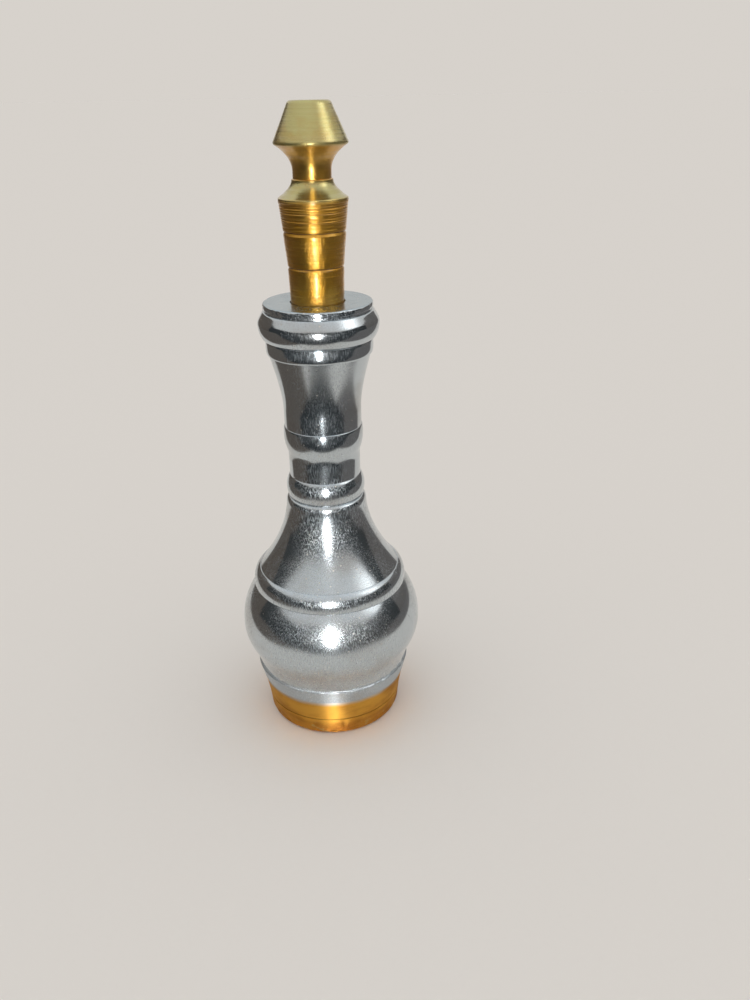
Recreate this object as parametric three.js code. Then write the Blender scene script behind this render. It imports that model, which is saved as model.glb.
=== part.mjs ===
// A kohl pot: a plated pot turned in two halves, on a brass foot, closed by a brass taper stopper
// that carries the applicator rod. Millimetres, +Z up, origin at the middle of the foot's underside.
import * as THREE from 'three';

// Round work
const SIDES = 40; // facets round the axis
const ROD_SIDES = 20; // facets round the thin rod
const CURVE_STEPS = 4; // straight steps along each curve of an outline

// Fits between pieces
const SPIGOT_GAP = 0.15; // radial clearance of a spigot in its socket
const TAPER_GAP = 0.15; // radial clearance of the stopper in the mouth
const ROD_GAP = 0.1; // radial clearance of the rod in the stopper
const END_GAP = 0.3; // clearance past the end of a spigot or of the rod

// Foot
const FOOT_HEIGHT = 8.1;
const FOOT_BASE_RADIUS = 11.5; // flat that stands on the table
const FOOT_EDGE_PROUD = 1.15; // rounded lower edge, outside the flat
const FOOT_EDGE_HEIGHT = 1.7;
const FOOT_LINE_HEIGHT = 3.6; // scribed line above the lower edge
const FOOT_LINE_RADIUS = 12.85;
const FOOT_FLOOR = 3.2; // thickness under the kohl
const FOOT_CORNER = 1.2; // round corner of the cup
const FOOT_SPIGOT_LENGTH = 4.5;
const FOOT_SPIGOT_WALL = 1.6;
const SCRIBE_DEPTH = 0.15;
const SCRIBE_WIDTH = 0.4;

// Belly
const COLLAR_RADIUS = 13.75; // where the collar meets the foot
const COLLAR_WALL = 2.15;
const COLLAR_HEIGHT = 2.7;
const RIDGE_RADIUS = 14.4;
const UNDERSIDE_RADIUS = 15.5; // where the hollow underside turns into the bulb
const UNDERSIDE_HEIGHT = 4.2;
const UNDERSIDE_HOLLOW = 0.75;
const BULB_RADIUS = 16.7;
const BULB_LOWER_HEIGHT = 4.4;
const BULB_UPPER_HEIGHT = 8.0;
const BULB_UPPER_TURN = 4.5; // height over which the bulb stays near its full radius
const BAND_RADIUS = 14.1;
const BAND_FOOT_RADIUS = 13.9;
const BAND_TOP_RADIUS = 12.9;
const BAND_HEIGHT = 3.4;
const BAND_EDGE = 0.6; // height of its rounded lower edge
const BAND_TURN = 0.9; // height of its rounded upper edge
const SHOULDER_RADIUS = 12.75; // foot of the shoulder, above the band
const SHOULDER_HEIGHT = 12.7;
const SHOULDER_HOLLOW = 6.8; // height over which the shoulder sweeps in
const SHOULDER_SLOPE = 0.4; // growth of the radius down the straighter top of the shoulder
const LEDGE_HEIGHT = 1.4;
const LEDGE_PROUD = 0.3;
const BELLY_WALL = 2.0;

// Neck
const BORE_RADIUS = 3.6;
const SPIGOT_WALL = 1.8;
const SPIGOT_LENGTH = 6;
const SEAT_WIDTH = 1.3; // flat ring that the neck stands on
const WAIST_WALL = 2.7; // thinnest wall, between the two beads
const WAIST_HEIGHT = 4.5;
const BEAD_PROUD = 0.65; // both beads stand out from the waist by this
const BEAD_LAND = 0.3; // outer edge of each bead, at the seat and at the throat
const LOWER_BEAD_HEIGHT = 4.0;
const UPPER_BEAD_HEIGHT = 4.7;
const THROAT_PROUD = 0.42; // narrowest throat, measured from the waist
const THROAT_HEIGHT = 12.7;
const THROAT_STRAIGHT = 3.1; // height over which the throat stays narrow
const THROAT_TURN = 6.2; // height where the line of the flare meets the throat
const FLARE_RADIUS = 8.65; // top of the flared throat
const LIP_RING_PROUD = 0.4;
const LIP_RING_HEIGHT = 3.2;
const MOUTH_BEAD_RADIUS = 10.15;
const MOUTH_BEAD_HEIGHT = 4.1;
const MOUTH_BEAD_WIDEST = 2.3; // height of its widest place above its foot
const COVE_DEPTH = 0.25; // hollow under the disc
const COVE_HEIGHT = 0.4;
const DISC_RADIUS = 9.15;
const DISC_THICKNESS = 0.9;
const EDGE_BREAK = 0.1; // chamfer on the sharp rims

// Stopper
const PLUG_RADIUS = 4.4; // where the plug meets the plane of the mouth
const PLUG_TAPER = 0.03; // growth of the radius for each millimetre of height, up to the lower line
const PLUG_DEPTH = 8; // length inside the mouth
const PLUG_LOWER = 5.7; // height of the lower scribed line above the mouth
const PLUG_MIDDLE = 5.5; // from the lower to the upper scribed line
const PLUG_UPPER = 4.4; // from the upper scribed line to the rim
const PLUG_MIDDLE_GROWTH = 0.48; // growth of the radius between the lines
const PLUG_UPPER_GROWTH = 0.48; // growth of the radius above the lines
const RIM_HEIGHT = 0.6; // sharp rim above the plug
const RIM_PROUD = 0.05;
const SHOULDER_RISE = 2.7; // hollow shoulder from the rim to the stem
const SHOULDER_TURN = 1.5; // height where the shoulder turns up into the stem
const STEM_RADIUS = 3.05;
const STEM_HEIGHT = 4.95;
const STEM_RIDGE = 0.25; // small ridge at the foot of the stem
const KNOB_RADIUS = 5.85;
const KNOB_EDGE = 0.6; // rounded edge at the knob's widest place
const KNOB_HEIGHT = 5.65;
const KNOB_TOP_RADIUS = 3.25;

// Applicator rod
const ROD_RADIUS = 1.25;
const ROD_SEAT = 7; // length held in the stopper
const TIP_PROUD = 0.35; // swelling of the tip
const TIP_LENGTH = 7;
const TIP_LIFT = 2; // height of the tip above the floor

// Levels of the pot, from the table up
const footTop = FOOT_HEIGHT;
const ridge = footTop + COLLAR_HEIGHT;
const undersideTop = ridge + UNDERSIDE_HEIGHT;
const bulbWidest = undersideTop + BULB_LOWER_HEIGHT;
const bandFoot = bulbWidest + BULB_UPPER_HEIGHT;
const bandTop = bandFoot + BAND_HEIGHT;
const shoulderTop = bandTop + SHOULDER_HEIGHT;
const seat = shoulderTop + LEDGE_HEIGHT;
const lowerBeadTop = seat + LOWER_BEAD_HEIGHT;
const waistTop = lowerBeadTop + WAIST_HEIGHT;
const upperBeadTop = waistTop + UPPER_BEAD_HEIGHT;
const flareTop = upperBeadTop + THROAT_HEIGHT;
const lipRingTop = flareTop + LIP_RING_HEIGHT;
const mouthBeadTop = lipRingTop + MOUTH_BEAD_HEIGHT;
const coveTop = mouthBeadTop + COVE_HEIGHT;
const mouth = coveTop + DISC_THICKNESS;

// Levels of the stopper
const plugFoot = mouth - PLUG_DEPTH;
const lowerLine = mouth + PLUG_LOWER;
const upperLine = lowerLine + PLUG_MIDDLE;
const plugTop = upperLine + PLUG_UPPER;
const rimTop = plugTop + RIM_HEIGHT;
const stemFoot = rimTop + SHOULDER_RISE;
const knobFoot = stemFoot + STEM_HEIGHT;
const knobEdgeTop = knobFoot + KNOB_EDGE;
const knobTop = knobEdgeTop + KNOB_HEIGHT;

// Radii that two pieces share
const footSocket = COLLAR_RADIUS - COLLAR_WALL;
const footSpigot = footSocket - SPIGOT_GAP;
const neckSpigot = BORE_RADIUS + SPIGOT_WALL;
const neckSocket = neckSpigot + SPIGOT_GAP;
const seatRadius = neckSocket + SEAT_WIDTH;
const waist = BORE_RADIUS + WAIST_WALL;
const bead = waist + BEAD_PROUD;
const beadLand = waist + BEAD_LAND;
const throat = waist + THROAT_PROUD;
const rodSocket = ROD_RADIUS + ROD_GAP;

// Radius at a height on the taper that seats in the mouth
function plugRadius(height) {
  return PLUG_RADIUS + (height - mouth) * PLUG_TAPER;
}

// A scribed V line across a wall, drawn upwards
function scribe(outline, radius, height) {
  outline.lineTo(radius, height - SCRIBE_WIDTH / 2);
  outline.lineTo(radius - SCRIBE_DEPTH, height);
  outline.lineTo(radius, height + SCRIBE_WIDTH / 2);
}

// The cup that closes the pot from below, with a spigot up into the belly
function footOutline() {
  const edge = FOOT_BASE_RADIUS + FOOT_EDGE_PROUD;
  const cup = footSpigot - FOOT_SPIGOT_WALL;
  const spigotTop = footTop + FOOT_SPIGOT_LENGTH;
  const outline = new THREE.Path();
  outline.moveTo(0, 0);
  outline.lineTo(FOOT_BASE_RADIUS, 0);
  outline.quadraticCurveTo(edge, 0, edge, FOOT_EDGE_HEIGHT);
  scribe(outline, FOOT_LINE_RADIUS, FOOT_LINE_HEIGHT);
  outline.lineTo(COLLAR_RADIUS - EDGE_BREAK, footTop);
  outline.lineTo(footSpigot, footTop);
  outline.lineTo(footSpigot, spigotTop);
  outline.lineTo(cup, spigotTop);
  outline.lineTo(cup, FOOT_FLOOR + FOOT_CORNER);
  outline.quadraticCurveTo(cup, FOOT_FLOOR, cup - FOOT_CORNER, FOOT_FLOOR);
  outline.lineTo(0, FOOT_FLOOR);
  return outline;
}

// The hollow lower half: collar, ridge, bulb, band, shoulder and the ledge that the neck stands on
function bellyOutline() {
  const ledge = seatRadius + LEDGE_PROUD;
  const socketFloor = seat - SPIGOT_LENGTH - END_GAP;
  const footSocketTop = footTop + FOOT_SPIGOT_LENGTH + END_GAP;
  const outline = new THREE.Path();
  outline.moveTo(footSocket, footTop);
  outline.lineTo(COLLAR_RADIUS, footTop);
  outline.lineTo(RIDGE_RADIUS, ridge);
  outline.quadraticCurveTo(UNDERSIDE_RADIUS - UNDERSIDE_HOLLOW, undersideTop - UNDERSIDE_HEIGHT / 3,
    UNDERSIDE_RADIUS, undersideTop);
  outline.quadraticCurveTo(BULB_RADIUS, undersideTop + BULB_LOWER_HEIGHT / 2, BULB_RADIUS, bulbWidest);
  outline.quadraticCurveTo(BULB_RADIUS, bulbWidest + BULB_UPPER_TURN, BAND_FOOT_RADIUS, bandFoot);
  outline.quadraticCurveTo(BAND_RADIUS, bandFoot, BAND_RADIUS, bandFoot + BAND_EDGE);
  outline.quadraticCurveTo(BAND_RADIUS, bandTop - BAND_TURN, BAND_TOP_RADIUS, bandTop);
  outline.lineTo(SHOULDER_RADIUS, bandTop);
  outline.quadraticCurveTo(ledge + SHOULDER_SLOPE, bandTop + SHOULDER_HOLLOW, ledge, shoulderTop);
  outline.quadraticCurveTo(ledge, seat, seatRadius, seat);
  outline.lineTo(neckSocket, seat);
  outline.lineTo(neckSocket, socketFloor);
  outline.quadraticCurveTo(neckSocket, bandTop + SHOULDER_HOLLOW / 2,
    SHOULDER_RADIUS - BELLY_WALL, bandTop);
  outline.lineTo(BAND_FOOT_RADIUS - BELLY_WALL, bandFoot);
  outline.quadraticCurveTo(BULB_RADIUS - BELLY_WALL, bulbWidest + BULB_UPPER_TURN,
    BULB_RADIUS - BELLY_WALL, bulbWidest);
  outline.quadraticCurveTo(BULB_RADIUS - BELLY_WALL, undersideTop, footSocket, footSocketTop);
  outline.lineTo(footSocket, footTop);
  return outline;
}

// The upper half: spigot, two beads, flared throat, lip ring, mouth bead and the flat disc of the mouth
function neckOutline() {
  const spigotFoot = seat - SPIGOT_LENGTH;
  const lipRing = FLARE_RADIUS + LIP_RING_PROUD;
  const beadWidest = lipRingTop + MOUTH_BEAD_WIDEST;
  const cove = DISC_RADIUS - COVE_DEPTH;
  const mouthRadius = PLUG_RADIUS + TAPER_GAP;
  const taperFoot = plugFoot - END_GAP;
  const outline = new THREE.Path();
  outline.moveTo(BORE_RADIUS, spigotFoot);
  outline.lineTo(neckSpigot, spigotFoot);
  outline.lineTo(neckSpigot, seat);
  outline.lineTo(beadLand, seat);
  outline.quadraticCurveTo(bead + BEAD_LAND, seat + LOWER_BEAD_HEIGHT / 2,
    waist + EDGE_BREAK, lowerBeadTop);
  outline.lineTo(waist, lowerBeadTop + EDGE_BREAK);
  outline.lineTo(waist, waistTop);
  outline.quadraticCurveTo(bead, waistTop + UPPER_BEAD_HEIGHT / 3,
    bead, upperBeadTop - UPPER_BEAD_HEIGHT / 3);
  outline.quadraticCurveTo(bead, upperBeadTop, throat, upperBeadTop);
  outline.lineTo(throat, upperBeadTop + THROAT_STRAIGHT);
  outline.quadraticCurveTo(throat, upperBeadTop + THROAT_TURN, FLARE_RADIUS, flareTop);
  outline.quadraticCurveTo(lipRing, flareTop, lipRing, flareTop + LIP_RING_HEIGHT / 2);
  outline.quadraticCurveTo(lipRing, lipRingTop, lipRing - EDGE_BREAK, lipRingTop);
  outline.quadraticCurveTo(MOUTH_BEAD_RADIUS, lipRingTop, MOUTH_BEAD_RADIUS, beadWidest);
  outline.quadraticCurveTo(MOUTH_BEAD_RADIUS, mouthBeadTop, cove, mouthBeadTop);
  outline.lineTo(cove, coveTop);
  outline.lineTo(DISC_RADIUS, coveTop);
  outline.lineTo(DISC_RADIUS, mouth - EDGE_BREAK);
  outline.lineTo(DISC_RADIUS - EDGE_BREAK, mouth);
  outline.lineTo(mouthRadius, mouth);
  outline.lineTo(plugRadius(taperFoot) + TAPER_GAP, taperFoot);
  outline.lineTo(BORE_RADIUS, taperFoot);
  outline.lineTo(BORE_RADIUS, spigotFoot);
  return outline;
}

// The stopper: plug with scribed lines, rim, hollow shoulder, stem and cone knob, bored for the rod
function stopperOutline() {
  const lower = plugRadius(lowerLine);
  const upper = lower + PLUG_MIDDLE_GROWTH;
  const top = upper + PLUG_UPPER_GROWTH;
  const rim = top + RIM_PROUD;
  const ridgeRadius = STEM_RADIUS + STEM_RIDGE;
  const stem = stemFoot + STEM_HEIGHT / 4;
  const outline = new THREE.Path();
  outline.moveTo(0, plugFoot + ROD_SEAT + END_GAP);
  outline.lineTo(rodSocket, plugFoot + ROD_SEAT + END_GAP);
  outline.lineTo(rodSocket, plugFoot);
  outline.lineTo(plugRadius(plugFoot), plugFoot);
  scribe(outline, lower, lowerLine);
  scribe(outline, upper, upperLine);
  outline.lineTo(top, plugTop);
  outline.lineTo(rim, plugTop);
  outline.lineTo(rim, rimTop);
  outline.quadraticCurveTo(ridgeRadius, rimTop + SHOULDER_TURN, ridgeRadius, stemFoot);
  outline.lineTo(STEM_RADIUS, stem);
  outline.quadraticCurveTo(STEM_RADIUS, knobFoot - STEM_HEIGHT / 3,
    KNOB_RADIUS - KNOB_EDGE / 2, knobFoot);
  outline.quadraticCurveTo(KNOB_RADIUS + KNOB_EDGE / 8, knobFoot + KNOB_EDGE / 3,
    KNOB_RADIUS - KNOB_EDGE / 8, knobEdgeTop);
  outline.lineTo(KNOB_TOP_RADIUS, knobTop - EDGE_BREAK);
  outline.lineTo(KNOB_TOP_RADIUS - EDGE_BREAK, knobTop);
  outline.lineTo(0, knobTop);
  return outline;
}

// The rod that picks up the kohl, with a swollen round tip
function rodOutline() {
  const tipFoot = FOOT_FLOOR + TIP_LIFT;
  const tip = ROD_RADIUS + TIP_PROUD;
  const outline = new THREE.Path();
  outline.moveTo(0, tipFoot);
  outline.quadraticCurveTo(tip, tipFoot, tip, tipFoot + TIP_LENGTH / 3);
  outline.quadraticCurveTo(tip, tipFoot + TIP_LENGTH / 2, ROD_RADIUS, tipFoot + TIP_LENGTH);
  outline.lineTo(ROD_RADIUS, plugFoot + ROD_SEAT);
  outline.lineTo(0, plugFoot + ROD_SEAT);
  return outline;
}

// Turns an outline of radius and height about the Z axis
function turned(name, outline, material, sides = SIDES) {
  const geometry = new THREE.LatheGeometry(outline.getPoints(CURVE_STEPS), sides);
  geometry.rotateX(Math.PI / 2);
  const mesh = new THREE.Mesh(geometry, material);
  mesh.name = name;
  return mesh;
}

const plate = new THREE.MeshStandardMaterial({ color: 0xc9cdd0, roughness: 0.12, metalness: 1 });
const brass = new THREE.MeshStandardMaterial({ color: 0xd2a53c, roughness: 0.25, metalness: 1 });
const rawBrass = new THREE.MeshStandardMaterial({ color: 0xc08a3a, roughness: 0.35, metalness: 1 });

const kohlPot = new THREE.Group();
kohlPot.name = 'kohl_pot';
kohlPot.add(
  turned('foot', footOutline(), rawBrass),
  turned('belly', bellyOutline(), plate),
  turned('neck', neckOutline(), plate),
);

const closure = new THREE.Group();
closure.name = 'closure';
closure.add(
  turned('stopper', stopperOutline(), brass),
  turned('applicator_rod', rodOutline(), brass, ROD_SIDES),
);
kohlPot.add(closure);

export default kohlPot;
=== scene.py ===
"""Looks of a kohl pot: five turned pieces of plated metal and brass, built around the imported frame."""
import math
import random

import bmesh
import bpy
from mathutils import Matrix, Vector, noise


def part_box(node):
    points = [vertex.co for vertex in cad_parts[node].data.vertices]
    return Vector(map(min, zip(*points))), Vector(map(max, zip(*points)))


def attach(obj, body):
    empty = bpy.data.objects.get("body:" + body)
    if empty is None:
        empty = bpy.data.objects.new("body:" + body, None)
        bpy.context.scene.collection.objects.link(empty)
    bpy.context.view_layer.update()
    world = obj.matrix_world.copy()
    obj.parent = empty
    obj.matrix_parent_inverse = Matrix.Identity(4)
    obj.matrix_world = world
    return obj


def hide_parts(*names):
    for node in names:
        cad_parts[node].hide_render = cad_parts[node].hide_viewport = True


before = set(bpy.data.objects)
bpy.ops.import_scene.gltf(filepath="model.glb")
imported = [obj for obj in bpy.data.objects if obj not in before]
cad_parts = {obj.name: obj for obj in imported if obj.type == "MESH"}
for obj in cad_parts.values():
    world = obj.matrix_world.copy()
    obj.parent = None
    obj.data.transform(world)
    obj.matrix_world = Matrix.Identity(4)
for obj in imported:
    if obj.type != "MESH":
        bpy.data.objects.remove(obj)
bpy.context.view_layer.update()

bl_info = {
    "name": "Kohl pot",
    "version": (1, 0, 0),
    "blender": (4, 5, 0),
    "location": "3D View > Sidebar > Kohl pot",
    "description": "Turns the pieces of a plated kohl pot with a brass foot and a brass stopper",
    "category": "Object",
}

MM = 0.001
FULL_TURN = 2 * math.pi
MERGE_DISTANCE = 1e-7
CURVE_STEPS = 14
CORNER_SEGMENTS = 4
DOUBLINGS = 5
TURN_STEPS = {"foot": 320, "belly": 320, "neck": 288, "stopper": 224, "rod": 64}
SHARP_ANGLE = math.radians(38)
LACQUER_ROUGHNESS = 0.16

# Nicks and tool grooves; each pair is a spread, as shares of a given size
NICK_DEPTHS = (0.25, 1.0)
NICK_WIDTHS = (0.5, 1.4)
NICK_HEIGHTS = (0.4, 1.0)
NICK_REACH = 2.5
GROOVES = 12
FIRST_GROOVE = 2
GROOVE_SEED = 7
GROOVE_SHIFTS = (-0.15, 0.15)
GROOVE_DEPTHS = (0.35, 1.0)

# Floor, camera and lamps; the lamps face the middle of the object
FLOOR_RADIUS = 30.0
FLOOR_STEPS = 64
SENSOR_WIDTH = 36.0
CLIP_START = 0.005
OBJECT_MIDDLE = Vector((0.0, 0.0, 0.05))
LAMP_SEGMENTS = 48
FRONT_LAMP_PLACE = (0.004, -0.2, 0.052)
FRONT_LAMP_SIZE = (0.044, 0.16)
SIDE_LAMP_PLACE = (0.5, -0.15, 0.45)
SIDE_LAMP_SIZE = (0.8, 0.8)

# Cards outside the picture, by their corners on the floor
FLAG_LIFT = 0.0003
FLAG_HEIGHT = 0.33
FRONT_CLOTH = ((-0.6, -0.0675), (-0.6, -0.6), (0.6, -0.6), (0.6, -0.0675))
FRONT_WALL = ((-0.6, 0.12), (-0.6, -0.6), (0.6, -0.6), (0.6, 0.12))
LEFT_CLOTH = ((-0.6, -0.0675), (-0.047, -0.0675), (-0.4, 0.8), (-0.6, 0.8))
LEFT_WALL = ((-0.6, 0.12), (-0.4, 0.8))
RIGHT_CLOTH = ((0.6, -0.0675), (0.6, 0.8), (0.42, 0.8), (0.065, -0.0675))
RIGHT_WALL = ((0.6, 0.12), (0.42, 0.8))

# Levels that the frame gives
FOOT_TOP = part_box("belly")[0].z
SPIGOT_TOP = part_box("foot")[1].z
BULB_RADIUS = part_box("belly")[1].x
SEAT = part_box("belly")[1].z
NECK_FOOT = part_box("neck")[0].z
MOUTH_BEAD_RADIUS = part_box("neck")[1].x
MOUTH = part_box("neck")[1].z
PLUG_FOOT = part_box("stopper")[0].z
KNOB_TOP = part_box("stopper")[1].z
ROD_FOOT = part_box("applicator_rod")[0].z
ROD_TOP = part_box("applicator_rod")[1].z

# Heights in millimetres that the shapes and the finishes share, and the levels that follow from them
FOOT_LINE_HEIGHT = 3.6
COLLAR_HEIGHT = 2.7
LOWER_TAPER = 5.7
MIDDLE_TAPER = 5.5
FOOT_LINE = FOOT_LINE_HEIGHT * MM
RIDGE = FOOT_TOP + COLLAR_HEIGHT * MM
LOWER_LINE = MOUTH + LOWER_TAPER * MM
UPPER_LINE = LOWER_LINE + MIDDLE_TAPER * MM
RIM = UPPER_LINE + 4.8 * MM
STEM_FOOT = RIM + 2.8 * MM
KNOB_FOOT = RIM + 7.9 * MM


def length(name, description, millimetres):
    """A size in the units of the scene, written in millimetres."""
    return bpy.props.FloatProperty(
        name=name, description=description, default=millimetres * MM, min=0.0, unit="LENGTH", precision=5
    )


def tint(name, description, red, green, blue):
    """A colour that a user may change."""
    return bpy.props.FloatVectorProperty(
        name=name, description=description, default=(red, green, blue),
        size=3, min=0.0, max=1.0, subtype="COLOR",
    )


def share(name, description, value):
    """A number between nought and one."""
    return bpy.props.FloatProperty(
        name=name, description=description, default=value, min=0.0, max=1.0, subtype="FACTOR"
    )


class FootSizes(bpy.types.PropertyGroup):
    """Sizes of the brass foot."""

    base_radius: length("Base radius", "Flat ring that stands on the table", 11.5)
    base_hollow: length("Base hollow", "Depth of the turned hollow under the foot", 0.35)
    edge_radius: length("Edge radius", "Rounded lower edge", 12.65)
    edge_height: length("Edge height", "Top of the rounded lower edge", 1.7)
    line_radius: length("Line radius", "Wall at the scribed line", 12.85)
    line_height: length("Line height", "Height of the scribed line", FOOT_LINE_HEIGHT)
    line_depth: length("Line depth", "Depth of the scribed line", 0.16)
    line_width: length("Line width", "Width of the scribed line", 0.24)
    top_radius: length("Top radius", "Wall where the collar sits", 13.65)
    spigot_radius: length("Spigot radius", "Spigot inside the belly", 11.45)
    cup_radius: length("Cup radius", "Inside of the cup that holds the kohl", 9.85)
    floor: length("Floor", "Thickness under the kohl", 3.2)
    corner: length("Corner", "Round corner inside the cup", 1.2)
    nick_depth: length("Nick depth", "Deepest nick on the lower edge", 0.2)


class BellySizes(bpy.types.PropertyGroup):
    """Sizes of the hollow lower half."""

    collar_radius: length("Collar radius", "Where the collar meets the foot", 13.75)
    collar_height: length("Collar height", "From the foot to the ridge", COLLAR_HEIGHT)
    socket_radius: length("Socket radius", "Inside of the collar", 11.6)
    socket_gap: length("Socket gap", "Clearance past the end of the foot's spigot", 0.3)
    ridge_radius: length("Ridge radius", "Sharp ridge above the collar", 14.45)
    ridge_step: length("Ridge step", "How far the ridge stands out from the underside", 0.28)
    underside_radius: length("Underside radius", "Where the hollow underside turns into the bulb", 15.5)
    underside_height: length("Underside height", "From the ridge to the bulb", 4.2)
    underside_hollow: length("Underside hollow", "How far the underside is hollowed", 0.75)
    bulb_lower: length("Bulb lower part", "From the underside to the widest place", 4.4)
    bulb_upper: length("Bulb upper part", "From the widest place to the band", 8.0)
    bulb_turn: length("Bulb turn", "Height over which the bulb stays wide", 4.5)
    band_foot: length("Band foot radius", "Groove under the band", 13.9)
    band_radius: length("Band radius", "Round band at the top of the bulb", 14.1)
    band_top: length("Band top radius", "Inner edge of the band's top", 12.9)
    band_height: length("Band height", "Height of the band", 3.4)
    band_edge: length("Band lower edge", "Height of the rounded lower edge", 0.6)
    band_turn: length("Band upper edge", "Height of the rounded upper edge", 0.9)
    shoulder_radius: length("Shoulder radius", "Foot of the hollow shoulder", 12.75)
    shoulder_height: length("Shoulder height", "From the band to the ledge", 12.7)
    shoulder_hollow: length("Shoulder hollow", "Height over which the shoulder sweeps in", 6.8)
    shoulder_slope: length("Shoulder slope", "Spread of the straighter top of the shoulder", 0.4)
    ledge_radius: length("Ledge radius", "Ledge that the neck stands on", 7.2)
    seat_radius: length("Seat radius", "Flat top of the ledge", 6.66)
    neck_socket: length("Neck socket radius", "Hole for the neck's spigot", 5.55)
    neck_socket_depth: length("Neck socket depth", "Depth of that hole", 6.3)
    wall: length("Wall", "Thickness of the hollow bulb", 2.0)
    nick_depth: length("Nick depth", "Deepest nick on the ridge", 0.12)


class NeckSizes(bpy.types.PropertyGroup):
    """Sizes of the upper half."""

    bore: length("Bore radius", "Bore through the neck", 3.6)
    spigot_radius: length("Spigot radius", "Spigot in the belly's socket", 5.4)
    land_radius: length("Bead land radius", "Foot of the lower bead", 6.6)
    waist_radius: length("Waist radius", "Between the two beads", 6.3)
    waist_height: length("Waist height", "Height between the beads", 4.5)
    bead_radius: length("Bead radius", "Both beads at their widest", 6.95)
    lower_bead: length("Lower bead height", "Height of the lower bead", 4.0)
    upper_bead: length("Upper bead height", "Height of the upper bead", 4.7)
    throat_radius: length("Throat radius", "Narrow part of the throat", 6.72)
    throat_height: length("Throat height", "From the upper bead to the lip ring", 12.7)
    throat_straight: length("Throat straight part", "Height over which the throat stays narrow", 3.1)
    throat_turn: length("Throat turn", "Height where the flare's line meets the throat", 6.2)
    flare_radius: length("Flare radius", "Top of the flared throat", 8.65)
    lip_ring_radius: length("Lip ring radius", "Ring above the flare", 9.05)
    lip_ring_height: length("Lip ring height", "Height of that ring", 2.5)
    mouth_bead_height: length("Mouth bead height", "Height of the large bead", 4.8)
    mouth_bead_widest: length("Mouth bead widest", "Its widest place above its foot", 2.6)
    mouth_bead_foot: length("Mouth bead foot radius", "Just above the groove under it", 9.45)
    mouth_bead_turn: length("Mouth bead turn", "Height of the round above its widest place", 0.85)
    mouth_bead_top: length("Mouth bead top radius", "Top of its slope", 9.2)
    cove_radius: length("Cove radius", "Hollow under the disc", 8.9)
    disc_radius: length("Disc radius", "Flat disc around the mouth", 9.15)
    disc_thickness: length("Disc thickness", "Thickness of that disc", 0.9)
    mouth_radius: length("Mouth radius", "Hole for the stopper", 4.55)
    taper_radius: length("Taper foot radius", "Lower end of the tapered hole", 4.3)
    taper_depth: length("Taper depth", "Length of the tapered hole", 8.3)
    edge_break: length("Edge break", "Rounding of the sharp rims", 0.1)
    nick_depth: length("Nick depth", "Deepest nick on the disc", 0.14)


class StopperSizes(bpy.types.PropertyGroup):
    """Sizes of the brass stopper."""

    socket_radius: length("Rod socket radius", "Hole for the applicator rod", 1.35)
    socket_gap: length("Rod socket gap", "Clearance past the end of the rod", 0.3)
    foot_radius: length("Plug foot radius", "Lower end of the plug", 4.16)
    lower_radius: length("Lower line radius", "Plug at the lower scribed line", 4.57)
    lower_height: length("Lower line height", "From the mouth to the lower line", LOWER_TAPER)
    upper_radius: length("Upper line radius", "Plug at the upper scribed line", 5.05)
    middle_height: length("Middle height", "Between the scribed lines", MIDDLE_TAPER)
    top_radius: length("Plug top radius", "Plug under the rim", 5.53)
    upper_height: length("Upper height", "From the upper line to the rim", 4.4)
    line_depth: length("Line depth", "Depth of the scribed lines", 0.2)
    line_slope: length("Line slope", "Height of the sloping side under a scribed line", 0.5)
    groove_depth: length("Tool groove depth", "Deepest of the fine grooves under the rim", 0.09)
    groove_width: length("Tool groove width", "Width of the fine grooves", 0.25)
    rim_radius: length("Rim radius", "Sharp rim above the plug", 5.58)
    rim_height: length("Rim height", "Height of the rim", 0.6)
    shoulder_rise: length("Shoulder rise", "From the rim to the stem", 2.7)
    shoulder_turn: length("Shoulder turn", "Height where the shoulder turns into the stem", 1.5)
    stem_radius: length("Stem radius", "Thin stem under the knob", 3.05)
    ridge_radius: length("Stem ridge radius", "Small ledge at the foot of the stem", 3.28)
    stem_height: length("Stem height", "From the ridge to the knob", 4.95)
    knob_radius: length("Knob radius", "Widest place of the knob", 5.85)
    knob_edge: length("Knob edge", "Height of the knob's rounded edge", 0.6)
    knob_top: length("Knob top radius", "Flat top of the cone", 3.25)
    edge_break: length("Edge break", "Rounding of the sharp rims", 0.1)


class RodSizes(bpy.types.PropertyGroup):
    """Sizes of the applicator rod."""

    radius: length("Rod radius", "Straight part of the rod", 1.25)
    tip_radius: length("Tip radius", "Swollen tip that picks up the kohl", 1.6)
    tip_length: length("Tip length", "Length of the swollen tip", 7.0)


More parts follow.
